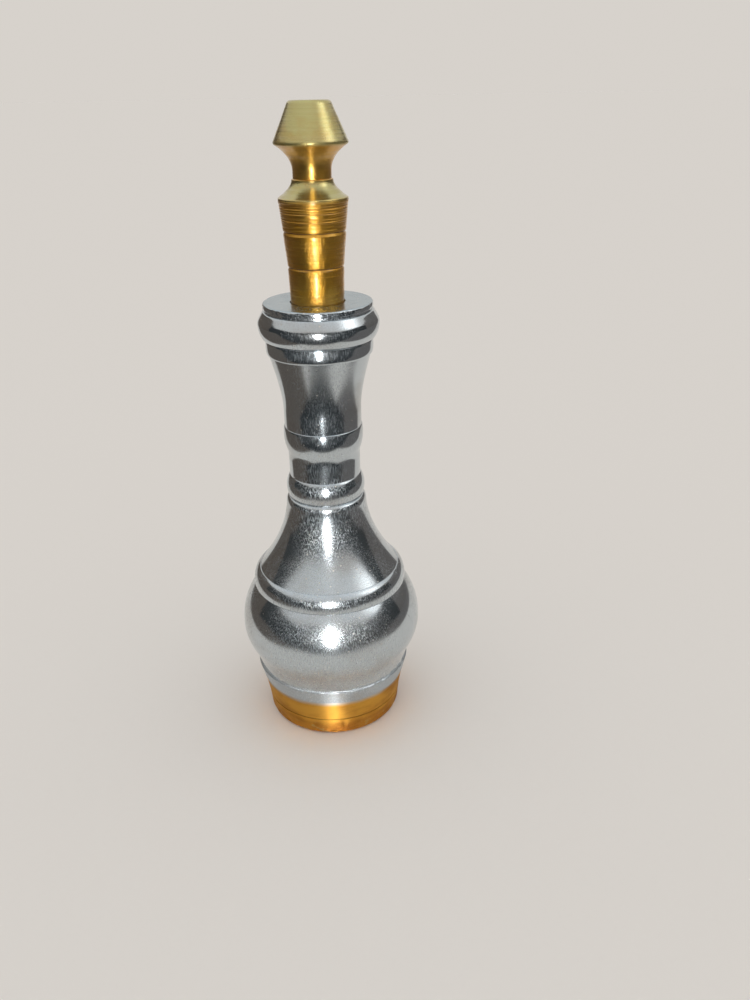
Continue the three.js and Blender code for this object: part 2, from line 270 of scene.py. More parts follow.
class FinishSettings(bpy.types.PropertyGroup):
    """Colours and gloss of the metals."""

    plate: tint("Plate", "Polished plating", 0.57, 0.62, 0.65)
    plate_smear: tint("Plate smear", "Dull smears on the plating", 0.47, 0.47, 0.46)
    # Painted reflection: a bluish tint on top of the mouth disc that stands in for the mirrored sky.
    plate_painted_sky: tint("Plate film", "Bluish film on top of the mouth disc", 0.40, 0.50, 0.56)
    plate_worn: tint("Worn plate", "Brass that shows through the plating", 0.62, 0.50, 0.36)
    plate_gloss: share("Plate roughness", "Roughness of the clean plating", 0.10)
    plate_relief: length("Plate relief", "Height of its scuffs", 0.004)
    plate_brushed: share("Scuffed plate roughness", "Roughness of its fine scuffs", 0.46)
    plate_turned: share("Turned plate roughness", "Roughness of the turned collar", 0.52)
    brass: tint("Brass", "Fresh turned brass of the stopper", 0.53, 0.475, 0.20)
    # Amber that is tarnish in patches and, on the plug and stem, partly a painted warm reflection.
    amber_tarnish_and_reflection: tint("Amber brass", "Tarnish on the plug", 0.72, 0.37, 0.045)
    # Dark brown that is tarnish in the finest lines and patches, and painted shade in the scribed lines.
    brown_tarnish_and_shade: tint("Brown brass", "Tarnish in the finest lines", 0.30, 0.15, 0.03)
    brass_gloss: share("Brass roughness", "Roughness of the turned brass", 0.20)
    brass_relief: length("Brass relief", "Height of its tool lines", 0.01)
    lacquer: share("Lacquer", "Clear lacquer over the stopper", 0.8)
    foot: tint("Foot brass", "Warm brass of the foot", 0.78, 0.42, 0.07)
    # Brown brass that is tarnish in patches. It also darkens the lower part of the foot.
    foot_dark: tint("Brown foot brass", "Tarnish on the foot", 0.46, 0.18, 0.03)
    foot_gloss: share("Foot roughness", "Roughness of the foot", 0.54)


class StageSettings(bpy.types.PropertyGroup):
    """Camera, floor and light."""

    camera_place: bpy.props.FloatVectorProperty(
        name="Camera place", description="Where the camera stands", default=(0.0088, -0.145, 0.1104),
        size=3, subtype="TRANSLATION", unit="LENGTH", precision=5,
    )
    camera_pitch: bpy.props.FloatProperty(
        name="Camera pitch", description="How far the camera looks down", default=math.radians(24.93),
        subtype="ANGLE", unit="ROTATION",
    )
    camera_roll: bpy.props.FloatProperty(
        name="Camera roll", description="How far the camera leans", default=math.radians(1.1),
        subtype="ANGLE", unit="ROTATION",
    )
    camera_lens: bpy.props.FloatProperty(
        name="Camera lens", description="Focal length in millimetres", default=31.61,
        subtype="DISTANCE_CAMERA",
    )
    floor: tint("Floor", "Plain pale floor", 0.87, 0.825, 0.775)
    sky: tint("Sky", "Soft light from above", 0.88, 0.915, 0.95)
    front_flag: tint("Front flag", "Dark card around the camera", 0.028, 0.034, 0.038)
    left_flag: tint("Left flag", "Grey card on the left", 0.155, 0.13, 0.112)
    right_flag: tint("Right flag", "Grey card on the right", 0.19, 0.175, 0.17)
    lamp: tint("Lamp", "Light of the soft lamps", 1.0, 1.0, 1.0)
    front_lamp: bpy.props.FloatProperty(
        name="Front lamp", description="Strength of the tall lamp in front", default=88.0, min=0.0,
    )
    side_lamp: bpy.props.FloatProperty(
        name="Side lamp", description="Strength of the large lamp on the right", default=1.6, min=0.0,
    )


class KohlPotSettings(bpy.types.PropertyGroup):
    """Everything that can be set."""

    foot: bpy.props.PointerProperty(type=FootSizes)
    belly: bpy.props.PointerProperty(type=BellySizes)
    neck: bpy.props.PointerProperty(type=NeckSizes)
    stopper: bpy.props.PointerProperty(type=StopperSizes)
    rod: bpy.props.PointerProperty(type=RodSizes)
    finish: bpy.props.PointerProperty(type=FinishSettings)
    stage: bpy.props.PointerProperty(type=StageSettings)


class Outline:
    """Half a section of turned work: a chain of vertices, each at a radius and a height."""

    def __init__(self, radius, height):
        self.mesh = bmesh.new()
        self.first = self.last = self.mesh.verts.new((radius, 0.0, height))
        self.corners = {}

    def line(self, radius, height, corner=0.0, steps=1):
        """Goes straight to a point, whose corner may be rounded."""
        start = self.last.co.copy()
        end = Vector((radius, 0.0, height))
        for step in range(1, steps + 1):
            vertex = self.mesh.verts.new(start.lerp(end, step / steps))
            self.mesh.edges.new((self.last, vertex))
            self.last = vertex
        self.mark(corner)

    def curve(self, turn_radius, turn_height, radius, height, corner=0.0):
        """Bends towards a turning point and on to an end point."""
        start = self.last.co.copy()
        turn = Vector((turn_radius, 0.0, turn_height))
        end = Vector((radius, 0.0, height))
        for step in range(1, CURVE_STEPS + 1):
            way = step / CURVE_STEPS
            point = start.lerp(turn, way).lerp(turn.lerp(end, way), way)
            self.line(point.x, point.z)
        self.mark(corner)

    def groove(self, radius, height, depth, width, lean=0.0):
        """Cuts a V line across the wall; lean is the wall's growth for each unit of height."""
        half = width / 2
        self.line(radius - lean * half, height - half)
        self.line(radius - depth, height)
        self.line(radius + lean * half, height + half)

    def mark(self, corner):
        """Notes that the last corner is to be rounded."""
        if corner:
            self.corners.setdefault(corner, []).append(self.last)

    def close(self):
        """Joins the last point to the first."""
        self.mesh.edges.new((self.last, self.first))

    def turned(self, steps):
        """Rounds the noted corners and turns the section about Z: one sector, doubled until it closes."""
        for corner, vertices in self.corners.items():
            bmesh.ops.bevel(
                self.mesh, geom=vertices, offset=corner, offset_type="OFFSET", segments=CORNER_SEGMENTS,
                profile=0.5, affect="VERTICES", clamp_overlap=True, material=-1,
            )
        mesh = self.mesh
        turn = FULL_TURN / 2 ** DOUBLINGS
        bmesh.ops.spin(
            mesh, geom=mesh.verts[:] + mesh.edges[:], cent=(0, 0, 0), axis=(0, 0, 1), angle=turn,
            steps=steps // 2 ** DOUBLINGS,
        )
        for _ in range(DOUBLINGS):
            copy = bmesh.ops.duplicate(mesh, geom=mesh.verts[:] + mesh.edges[:] + mesh.faces[:])["geom"]
            moved = [part for part in copy if isinstance(part, bmesh.types.BMVert)]
            bmesh.ops.rotate(mesh, cent=(0, 0, 0), matrix=Matrix.Rotation(turn, 3, "Z"), verts=moved)
            turn *= 2
        bmesh.ops.remove_doubles(mesh, verts=mesh.verts, dist=MERGE_DISTANCE)
        bmesh.ops.recalc_face_normals(mesh, faces=mesh.faces)
        return mesh


def nick(mesh, seed, count, low, high, inside, depth, size):
    """Dents a band of a turned piece in places that a seed fixes. Only what is outside a radius moves."""
    draw = random.Random(seed)
    band = []
    margin = 2 * size
    for vertex in mesh.verts:
        radius = vertex.co.xy.length
        if low - margin < vertex.co.z < high + margin and radius > inside:
            band.append((math.atan2(vertex.co.y, vertex.co.x), radius, vertex.co.z, vertex))
    for _ in range(count):
        turn = draw.uniform(-math.pi, math.pi)
        level = draw.uniform(low, high)
        deep = depth * draw.uniform(*NICK_DEPTHS)
        wide = size * draw.uniform(*NICK_WIDTHS)
        tall = size * draw.uniform(*NICK_HEIGHTS)
        for angle, radius, height, vertex in band:
            across = (angle - turn) * radius / wide
            if abs(across) < NICK_REACH:
                vertex.co.xy *= 1 - deep * math.exp(-across ** 2 - ((height - level) / tall) ** 2) / radius


def roughen(mesh, low, high, inside, depth, grain):
    """Wears a band of a turned piece unevenly inwards."""
    for vertex in mesh.verts:
        radius = vertex.co.xy.length
        if low < vertex.co.z < high and radius > inside:
            fade = math.sin(math.pi * (vertex.co.z - low) / (high - low))
            wear = noise.noise(vertex.co / grain) * 0.5 + 0.5
            vertex.co.xy *= 1 - depth * fade * wear / radius


def make_piece(name, mesh, finish, body):
    """Makes a finished object of a turned mesh, in place of the node that it is named after."""
    data = bpy.data.meshes.new(name + "_turned")
    mesh.to_mesh(data)
    mesh.free()
    data.polygons.foreach_set("use_smooth", [True] * len(data.polygons))
    data.set_sharp_from_angle(angle=SHARP_ANGLE)
    data.materials.append(finish)
    piece = bpy.data.objects.new(name + "_turned", data)
    bpy.context.scene.collection.objects.link(piece)
    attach(piece, body)
    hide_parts(name)


class Value:
    """A number that changes over a surface. Sums, products and powers of values add Math nodes."""

    def __init__(self, finish, socket):
        self.finish = finish
        self.socket = socket

    def sum_up(self, operation, *terms):
        return self.finish.node("ShaderNodeMath", {"operation": operation}, dict(enumerate(terms)))

    def __add__(self, other):
        return self.sum_up("ADD", self, other)

    def __radd__(self, other):
        return self.sum_up("ADD", other, self)

    def __sub__(self, other):
        return self.sum_up("SUBTRACT", self, other)

    def __rsub__(self, other):
        return self.sum_up("SUBTRACT", other, self)

    def __mul__(self, other):
        return self.sum_up("MULTIPLY", self, other)

    def __pow__(self, other):
        return self.sum_up("POWER", self, other)


class Nodes:
    """A node tree that is filled by expressions."""

    def __init__(self, tree):
        self.tree = tree
        tree.nodes.clear()

    def node(self, kind, settings=None, sockets=None, output=0):
        """Any node: its type, its settings, and the values or links of its sockets."""
        node = self.tree.nodes.new(kind)
        for key, value in (settings or {}).items():
            setattr(node, key, value)
        for key, value in (sockets or {}).items():
            if isinstance(value, Value):
                self.tree.links.new(value.socket, node.inputs[key])
            else:
                node.inputs[key].default_value = value
        return Value(self, node.outputs[output]) if node.outputs else None

    def step(self, value, start, end):
        """Rises smoothly from nought at start to one at end."""
        return self.node(
            "ShaderNodeMapRange", {"interpolation_type": "SMOOTHSTEP"},
            {"Value": value, "From Min": start, "From Max": end},
        )

    def mix(self, factor, first, second):
        """A colour between two colours."""
        return self.node("ShaderNodeMix", {"data_type": "RGBA"}, {0: factor, 6: first, 7: second}, 2)


class Finish(Nodes):
    """A metal finish, patterned on Object coordinates."""

    def __init__(self, name):
        self.material = bpy.data.materials.new(name)
        self.material.use_nodes = True
        super().__init__(self.material.node_tree)
        self.place = self.node("ShaderNodeTexCoord", output="Object")
        self.height = self.node("ShaderNodeSeparateXYZ", None, {"Vector": self.place}, "Z")

    def rise(self, start, end):
        """Rises smoothly from nought at one height to one at another."""
        return self.step(self.height, start, end)

    def mapped(self, around, along, shift):
        """Object coordinates with so many units to a millimetre, around and along the axis."""
        scale = (around / MM, around / MM, along / MM)
        return self.node(
            "ShaderNodeMapping", {"vector_type": "POINT"},
            {"Vector": self.place, "Scale": scale, "Location": (shift, shift, shift)},
        )

    def noise(self, around, along, detail=2.0, rough=0.5, shift=0.0):
        """Noise with so many grains to a millimetre around and along the axis."""
        return self.node(
            "ShaderNodeTexNoise", {"noise_dimensions": "3D"},
            {"Vector": self.mapped(around, along, shift), "Scale": 1.0, "Detail": detail, "Roughness": rough},
        )

    def pits(self, spread, size, shift=0.0):
        """Small round pits about so many millimetres apart; size is their share of that."""
        cells = self.node(
            "ShaderNodeTexVoronoi", {"feature": "F1"},
            {"Vector": self.mapped(1 / spread, 1 / spread, shift), "Scale": 1.0},
        )
        return self.step(cells, size, 0.0)

    def front(self, start, end):
        """Rises around the piece towards its front; start and end are Y over the radius, -1 in front."""
        across = self.node("ShaderNodeSeparateXYZ", None, {"Vector": self.place}, "X")
        ahead = self.node("ShaderNodeSeparateXYZ", None, {"Vector": self.place}, "Y")
        return self.step(ahead * (across * across + ahead * ahead) ** -0.5, start, end)

    def band(self, level, width):
        """A narrow line around the piece at a height."""
        return self.rise(level - width, level) * self.rise(level + width, level)

    def bump(self, height, depth):
        """The surface's lean where a height changes; depth is what a height of one stands for."""
        return self.node("ShaderNodeBump", None, {"Height": height, "Strength": 1.0, "Distance": depth})

    def metal(self, colour, roughness, normal, anisotropy, turn=0.25, lacquer=0.0):
        """A metal whose fine marks stretch its highlights along the axis, or around it if turn is nought."""
        return self.node(
            "ShaderNodeBsdfPrincipled", {"distribution": "MULTI_GGX"},
            {
                "Base Color": colour, "Metallic": 1.0, "Roughness": roughness, "Normal": normal,
                "Anisotropic": anisotropy, "Anisotropic Rotation": turn,
                "Coat Weight": lacquer, "Coat Roughness": LACQUER_ROUGHNESS,
            },
        )

    def blend(self, factor, first, second):
        """One shader laid over another."""
        return self.node("ShaderNodeMixShader", None, {0: factor, 1: first, 2: second})

    def end(self, shader):
        """Ends the material with a shader."""
        self.node("ShaderNodeOutputMaterial", None, {"Surface": shader})
        return self.material


def rgba(colour):
    """A stored colour as a socket takes it."""
    return (*colour, 1.0)


def plate_finish(settings):
    """Polished plating with smears, upright scuffs, turning lines, pits and a painted bluish sky reflection
    on its disc.
    """
    finish = Finish("polished_plate")
    smears = finish.step(finish.noise(0.09, 0.14, detail=4.0, rough=0.6), 0.42, 0.72)
    upright = finish.step(finish.noise(8.0, 1.0, rough=0.6), 0.48, 0.66)
    turning = finish.noise(0.2, 7.0, shift=3.0)
    scuffed = finish.step(finish.noise(0.16, 0.12, detail=3.0, rough=0.6, shift=9.0), 0.4, 0.68)
    rubbed = finish.front(-0.6, -0.98)
    specks = finish.pits(0.4, 0.3, 2.0)
    pits = finish.pits(1.3, 0.16)
    # The top of the mouth disc: rougher and mottled, and tinted with a painted bluish sky reflection.
    disc_top = finish.rise(MOUTH - 0.1 * MM, MOUTH - 0.02 * MM)
    mottle = finish.step(finish.noise(0.5, 0.5, shift=4.0), 0.35, 0.7)
    handled = finish.rise(SEAT + 14 * MM, SEAT - 4 * MM) * 0.58 + 0.42
    scuffs = upright * (rubbed * 0.65 + scuffed * 0.45 + 0.06) * handled
    ridge = finish.band(RIDGE + 0.15 * MM, 0.22 * MM)
    collar = finish.rise(RIDGE + 0.05 * MM, RIDGE - 0.05 * MM)
    colour = finish.mix(smears * 0.7 + disc_top * mottle * 0.3, rgba(settings.plate), rgba(settings.plate_smear))
    # Painted reflection: the disc's top is tinted bluish like the sky it mirrors.
    colour = finish.mix(disc_top * 0.75, colour, rgba(settings.plate_painted_sky))
    colour = finish.mix(pits * 0.6, colour, rgba(settings.plate_worn))
    relief = turning * 0.15 + scuffs * 0.5 - pits * 3.0 - specks * scuffed * 1.2 + disc_top * mottle * 1.5
    normal = finish.bump(relief, settings.plate_relief)
    roughness = settings.plate_gloss + smears * 0.06 + rubbed * handled * 0.10 + pits * 0.2
    roughness = roughness + disc_top * (mottle * 0.08 + 0.06)
    polished = finish.metal(colour, roughness, normal, anisotropy=0.3)
    scratched = finish.metal(colour, settings.plate_brushed, normal, anisotropy=0.75, turn=0.0)
    turned = finish.metal(colour, settings.plate_turned, normal, anisotropy=0.9)
    body = finish.blend(scuffs + ridge * 0.5 + smears * 0.06 + 0.04, polished, scratched)
    return finish.end(finish.blend(collar * 0.65, body, turned))


def brass_finish(settings):
    """Lacquered turned brass: lines round the axis, pits, amber tarnish in patches, amber on the plug and
    stem that is partly tarnish and partly a painted warm reflection, and painted shade in the scribed lines.
    """
    finish = Finish("turned_brass")
    patches = finish.step(finish.noise(0.22, 0.3, detail=4.0, rough=0.6), 0.4, 0.75)
    lines = finish.noise(0.12, 9.0, detail=3.0, rough=0.6, shift=5.0)
    wide_lines = finish.noise(0.06, 2.2, shift=1.0)
    blotches = finish.noise(3.6, 2.8, shift=11.0)
    pits = finish.pits(0.9, 0.2, 4.0)
    plug = finish.rise(RIM + 0.5 * MM, RIM - 0.5 * MM)
    mottled = finish.rise(UPPER_LINE + 0.2 * MM, UPPER_LINE - 0.4 * MM)
    rod = finish.rise(PLUG_FOOT, PLUG_FOOT - 0.2 * MM)
    # The scribed lines are darkened further down: painted shade in their grooves.
    scribed = finish.band(UPPER_LINE, 0.16 * MM) + finish.band(LOWER_LINE, 0.16 * MM)
    above_shoulder = finish.rise(STEM_FOOT - 0.4 * MM, STEM_FOOT + 0.4 * MM)
    stem = above_shoulder * finish.rise(KNOB_FOOT + 0.3 * MM, KNOB_FOOT - 0.3 * MM)
    knob_edge = finish.band(KNOB_FOOT + 0.2 * MM, 0.6 * MM)
    # The plug and stem turn amber: partly tarnish, partly a painted warm reflection. Amber patches are
    # tarnish.
    colour = finish.mix(
        plug * 0.9 + stem * 0.75 + patches * 0.25, rgba(settings.brass), rgba(settings.amber_tarnish_and_reflection)
    )
    # Dark brown in the tool lines and patches is tarnish. In the scribed lines it is painted shade.
    colour = finish.mix(
        patches * 0.2 + finish.step(lines, 0.52, 0.75) * (plug * 0.3 + 0.1) + scribed,
        colour, rgba(settings.brown_tarnish_and_shade),
    )
    roughness = settings.brass_gloss + plug * 0.12 + stem * 0.15 + knob_edge * 0.25
    roughness = roughness + patches * 0.06 + lines * 0.04
    relief = lines * (plug * 2.0 + 2.2) + wide_lines * (plug * (1 - mottled) * 15.0 + mottled * 11.0 + 2.5)
    relief = (relief + blotches * mottled * 6.0 - pits * 2.0) * (1 - rod * 0.85)
    normal = finish.bump(relief, settings.brass_relief)
    lacquer = (finish.step(wide_lines, 0.38, 0.6) * 0.7 + 0.3) * settings.lacquer
    return finish.end(finish.metal(colour, roughness, normal, anisotropy=0.6, lacquer=lacquer))


def foot_finish(settings):
    """Warm brass with a worn lower rim that turns darker towards the bottom, a scribed line darkened with
    painted shade, and a breath of plating along its top edge.
    """
    finish = Finish("foot_brass")
    patches = finish.step(finish.noise(0.12, 0.3, detail=4.0, rough=0.6, shift=2.0), 0.4, 0.72)
    lines = finish.noise(0.1, 8.0, detail=3.0, rough=0.6, shift=7.0)
    wander = finish.noise(0.25, 0.25, shift=6.0)
    grain = finish.noise(1.8, 1.8, detail=3.0, rough=0.6, shift=8.0)
    rim = finish.rise(3.3 * MM, 2.4 * MM)
    lower_edge = finish.rise(2.4 * MM, 1.8 * MM)
    flecks = finish.step(finish.noise(0.6, 0.9, shift=3.0), 0.58, 0.72) * lower_edge
    # The scribed line of the foot is darkened further down: painted shade in its groove.
    line = finish.band(FOOT_LINE, 0.12 * MM)
    plated = finish.step(finish.height + wander * (0.8 * MM), FOOT_TOP - 0.7 * MM, FOOT_TOP + 0.5 * MM)
    # Brown in patches is tarnish. The foot also turns darker towards the bottom, below the scribed line.
    colour = finish.mix(patches * 0.65 + rim * 0.5, rgba(settings.foot), rgba(settings.foot_dark))
    colour = finish.mix(flecks * 0.5, colour, rgba(settings.brass))
    colour = finish.mix(plated * 0.8, colour, rgba(settings.plate))
    colour = finish.mix(line, colour, rgba(settings.brown_tarnish_and_shade))
    roughness = settings.foot_gloss + patches * 0.06 - flecks * 0.26
    relief = lines * 0.8 + grain * rim * 10.0 + flecks * 3.0
    normal = finish.bump(relief, settings.brass_relief)
    return finish.end(finish.metal(colour, roughness, normal, anisotropy=0.9))


def foot_outline(sizes):
    """The cup that closes the pot from below, with a spigot up into the belly."""
    hollow_roof = sizes.base_radius * 0.8
    hollow_edge = sizes.base_radius * 0.86
    top_edge = 0.06 * MM
    spigot_edge = 0.2 * MM
    outline = Outline(0.0, sizes.base_hollow)
    outline.line(hollow_roof, sizes.base_hollow, steps=6)
    outline.line(hollow_edge, 0.0)
    outline.line(sizes.base_radius, 0.0, steps=2)
    outline.curve(sizes.edge_radius, 0.0, sizes.edge_radius, sizes.edge_height)
    outline.line(sizes.line_radius, sizes.line_height - sizes.line_width / 2, steps=3)
    outline.line(sizes.line_radius - sizes.line_depth, sizes.line_height)
    outline.line(sizes.line_radius, sizes.line_height + sizes.line_width / 2)
    outline.line(sizes.top_radius, FOOT_TOP, top_edge, steps=6)
    outline.line(sizes.spigot_radius, FOOT_TOP)
    outline.line(sizes.spigot_radius, SPIGOT_TOP, spigot_edge)
    outline.line(sizes.cup_radius, SPIGOT_TOP, spigot_edge)
    outline.line(sizes.cup_radius, sizes.floor + sizes.corner)
    outline.curve(sizes.cup_radius, sizes.floor, sizes.cup_radius - sizes.corner, sizes.floor)
    outline.line(0.0, sizes.floor, steps=5)
    return outline


def belly_outline(sizes):
    """Collar, ridge, bulb, band, shoulder and the ledge that the neck stands on, with a hollow inside."""
    ridge = FOOT_TOP + sizes.collar_height
    underside = ridge + sizes.underside_height
    widest = underside + sizes.bulb_lower
    band_foot = widest + sizes.bulb_upper
    band_top = band_foot + sizes.band_height
    ledge = band_top + sizes.shoulder_height
    socket_floor = SEAT - sizes.neck_socket_depth
    inside = BULB_RADIUS - sizes.wall
    collar_edge = 0.12 * MM
    ridge_edge = 0.08 * MM
    step_edge = 0.1 * MM
    outline = Outline(sizes.socket_radius, FOOT_TOP)
    outline.line(sizes.collar_radius, FOOT_TOP, collar_edge)
    outline.line(sizes.ridge_radius, ridge, ridge_edge, steps=4)
    outline.line(sizes.ridge_radius - sizes.ridge_step, ridge + sizes.ridge_step, step_edge)
    outline.curve(
        sizes.underside_radius - sizes.underside_hollow, underside - sizes.underside_height / 3,
        sizes.underside_radius, underside,
    )
    outline.curve(BULB_RADIUS, underside + sizes.bulb_lower / 2, BULB_RADIUS, widest)
    outline.curve(BULB_RADIUS, widest + sizes.bulb_turn, sizes.band_foot, band_foot)
    outline.curve(sizes.band_radius, band_foot, sizes.band_radius, band_foot + sizes.band_edge)
    outline.curve(sizes.band_radius, band_top - sizes.band_turn, sizes.band_top, band_top)
    outline.line(sizes.shoulder_radius, band_top)
    outline.curve(
        sizes.ledge_radius + sizes.shoulder_slope, band_top + sizes.shoulder_hollow, sizes.ledge_radius, ledge
    )
    outline.curve(sizes.ledge_radius, SEAT - sizes.ridge_step, sizes.seat_radius, SEAT)
    outline.line(sizes.neck_socket, SEAT)
    outline.line(sizes.neck_socket, socket_floor)
    outline.curve(
        sizes.neck_socket, band_top + sizes.shoulder_hollow / 2, sizes.shoulder_radius - sizes.wall, band_top
    )
    outline.line(sizes.band_foot - sizes.wall, band_foot)
    outline.curve(inside, widest + sizes.bulb_turn, inside, widest)
    outline.curve(inside, underside, sizes.socket_radius, SPIGOT_TOP + sizes.socket_gap)
    outline.close()
    return outline


def neck_outline(sizes):
    """Spigot, two beads, flared throat, lip ring, mouth bead and the flat disc of the mouth."""
    lower_top = SEAT + sizes.lower_bead
    waist_top = lower_top + sizes.waist_height
    upper_top = waist_top + sizes.upper_bead
    flare_top = upper_top + sizes.throat_height
    ring_top = flare_top + sizes.lip_ring_height
    bead_top = ring_top + sizes.mouth_bead_height
    cove_top = MOUTH - sizes.disc_thickness
    taper_foot = MOUTH - sizes.taper_depth
    widest = sizes.mouth_bead_widest
    waist = sizes.waist_radius
    bead = sizes.bead_radius
    edge = sizes.edge_break
    outline = Outline(sizes.bore, NECK_FOOT)
    outline.line(sizes.spigot_radius, NECK_FOOT, edge)
    outline.line(sizes.spigot_radius, SEAT)
    outline.line(sizes.land_radius, SEAT)
    outline.curve(
        2 * bead - (sizes.land_radius + waist) / 2, SEAT + sizes.lower_bead / 2, waist + edge, lower_top
    )
    outline.line(waist, lower_top + edge)
    outline.line(waist, waist_top, steps=4)
    outline.curve(bead, waist_top + sizes.upper_bead / 3, bead, upper_top - sizes.upper_bead / 3)
    outline.curve(bead, upper_top, sizes.throat_radius, upper_top)
    outline.line(sizes.throat_radius, upper_top + sizes.throat_straight, steps=4)
    outline.curve(sizes.throat_radius, upper_top + sizes.throat_turn, sizes.flare_radius, flare_top)
    outline.curve(
        sizes.lip_ring_radius, flare_top, sizes.lip_ring_radius, flare_top + sizes.lip_ring_height / 2
    )
    outline.curve(sizes.lip_ring_radius, ring_top, sizes.lip_ring_radius - edge, ring_top)
    outline.line(sizes.mouth_bead_foot, ring_top + edge * 3)
    outline.curve(MOUTH_BEAD_RADIUS, ring_top + widest / 2, MOUTH_BEAD_RADIUS, ring_top + widest)
    outline.curve(
        MOUTH_BEAD_RADIUS, ring_top + widest + sizes.mouth_bead_turn / 2,
        MOUTH_BEAD_RADIUS - edge * 2, ring_top + widest + sizes.mouth_bead_turn,
    )
    outline.line(sizes.mouth_bead_top, bead_top, edge * 2, steps=3)
    outline.line(sizes.cove_radius, bead_top)
    outline.line(sizes.cove_radius, cove_top)
    outline.line(sizes.disc_radius, cove_top, edge)
    outline.line(sizes.disc_radius, MOUTH, edge * 3, steps=2)
    outline.line(sizes.mouth_radius, MOUTH, edge, steps=8)
    outline.line(sizes.taper_radius, taper_foot, steps=4)
    outline.line(sizes.bore, taper_foot)
    outline.close()
    return outline


def stopper_outline(sizes):
    """Plug with lines and tool grooves, rim, hollow shoulder, stem and cone knob, bored for the rod."""
    lower = MOUTH + sizes.lower_height
    upper = lower + sizes.middle_height
    top = upper + sizes.upper_height
    rim_top = top + sizes.rim_height
    stem_foot = rim_top + sizes.shoulder_rise
    knob_foot = stem_foot + sizes.stem_height
    edge_top = knob_foot + sizes.knob_edge
    edge = sizes.edge_break
    growth = sizes.top_radius - sizes.upper_radius
    outline = Outline(0.0, ROD_TOP + sizes.socket_gap)
    outline.line(sizes.socket_radius, ROD_TOP + sizes.socket_gap)
    outline.line(sizes.socket_radius, PLUG_FOOT)
    outline.line(sizes.foot_radius, PLUG_FOOT, edge)
    outline.line(sizes.lower_radius, lower - sizes.line_slope, edge, steps=18)
    outline.line(sizes.lower_radius - sizes.line_depth, lower)
    outline.line(sizes.lower_radius, lower + edge, edge / 2)
    outline.line(sizes.upper_radius, upper - sizes.line_slope, edge, steps=12)
    outline.line(sizes.upper_radius - sizes.line_depth, upper)
    outline.line(sizes.upper_radius, upper + edge, edge / 2)
    draw = random.Random(GROOVE_SEED)
    for place in range(FIRST_GROOVE, GROOVES):
        way = (place + draw.uniform(*GROOVE_SHIFTS)) / GROOVES
        outline.groove(
            sizes.upper_radius + growth * way, upper + sizes.upper_height * way,
            sizes.groove_depth * draw.uniform(*GROOVE_DEPTHS), sizes.groove_width,
            growth / sizes.upper_height,
        )
    outline.line(sizes.top_radius, top)
    outline.line(sizes.rim_radius, top + edge / 2)
    outline.line(sizes.rim_radius, rim_top, edge)
    outline.curve(sizes.ridge_radius, rim_top + sizes.shoulder_turn, sizes.ridge_radius, stem_foot, edge / 2)
    outline.line(sizes.stem_radius, stem_foot + edge)
    outline.line(sizes.stem_radius, stem_foot + sizes.stem_height / 4, steps=3)
    outline.curve(
        sizes.stem_radius, knob_foot - sizes.stem_height / 3,
        sizes.knob_radius - sizes.knob_edge / 2, knob_foot,
    )
    outline.curve(
        sizes.knob_radius + sizes.knob_edge / 8, knob_foot + sizes.knob_edge / 3,
        sizes.knob_radius - sizes.knob_edge / 8, edge_top,
    )
    outline.line(sizes.knob_top, KNOB_TOP, edge * 4, steps=10)
    outline.line(0.0, KNOB_TOP, steps=5)
    return outline


def rod_outline(sizes):
    """Thin rod with a swollen round tip."""
    tip_top = ROD_FOOT + sizes.tip_length
    top_edge = 0.1 * MM
    outline = Outline(0.0, ROD_FOOT)
    outline.curve(sizes.tip_radius, ROD_FOOT, sizes.tip_radius, ROD_FOOT + sizes.tip_length / 3)
    outline.curve(sizes.tip_radius, ROD_FOOT + sizes.tip_length / 2, sizes.radius, tip_top)
    outline.line(sizes.radius, ROD_TOP, top_edge, steps=12)
    outline.line(0.0, ROD_TOP)
    return outline


class KOHLPOT_OT_foot(bpy.types.Operator):
    """Turn the brass foot"""

    bl_idname = "kohl_pot.make_foot"
    bl_label = "Foot"

    def execute(self, context):
        settings = context.scene.kohl_pot
        sizes = settings.foot
        mesh = foot_outline(sizes).turned(TURN_STEPS["foot"])
        roughen(
            mesh, low=0.05 * MM, high=2.2 * MM,
            inside=sizes.base_radius * 0.99, depth=0.05 * MM, grain=0.5 * MM,
        )
        nick(
            mesh, seed=11, count=90, low=0.4 * MM, high=2.6 * MM,
            inside=sizes.base_radius, depth=sizes.nick_depth, size=0.4 * MM,
        )
        make_piece("foot", mesh, foot_finish(settings.finish), "pot")
        return {"FINISHED"}


class KOHLPOT_OT_belly(bpy.types.Operator):
    """Turn the hollow plated belly"""

    bl_idname = "kohl_pot.make_belly"
    bl_label = "Belly"

    def execute(self, context):
        settings = context.scene.kohl_pot
        sizes = settings.belly
        mesh = belly_outline(sizes).turned(TURN_STEPS["belly"])
        ridge = FOOT_TOP + sizes.collar_height
        nick(
            mesh, seed=23, count=60, low=ridge - 0.15 * MM, high=ridge + 0.15 * MM,
            inside=sizes.collar_radius, depth=sizes.nick_depth, size=0.4 * MM,
        )
        make_piece("belly", mesh, plate_finish(settings.finish), "pot")
        return {"FINISHED"}


class KOHLPOT_OT_neck(bpy.types.Operator):
    """Turn the plated neck"""

    bl_idname = "kohl_pot.make_neck"
    bl_label = "Neck"

    def execute(self, context):
        settings = context.scene.kohl_pot
        sizes = settings.neck
        mesh = neck_outline(sizes).turned(TURN_STEPS["neck"])
        nick(
            mesh, seed=31, count=26, low=MOUTH - 0.5 * MM, high=MOUTH,
            inside=sizes.disc_radius * 0.96, depth=sizes.nick_depth, size=0.35 * MM,
        )
        make_piece("neck", mesh, plate_finish(settings.finish), "pot")
        return {"FINISHED"}


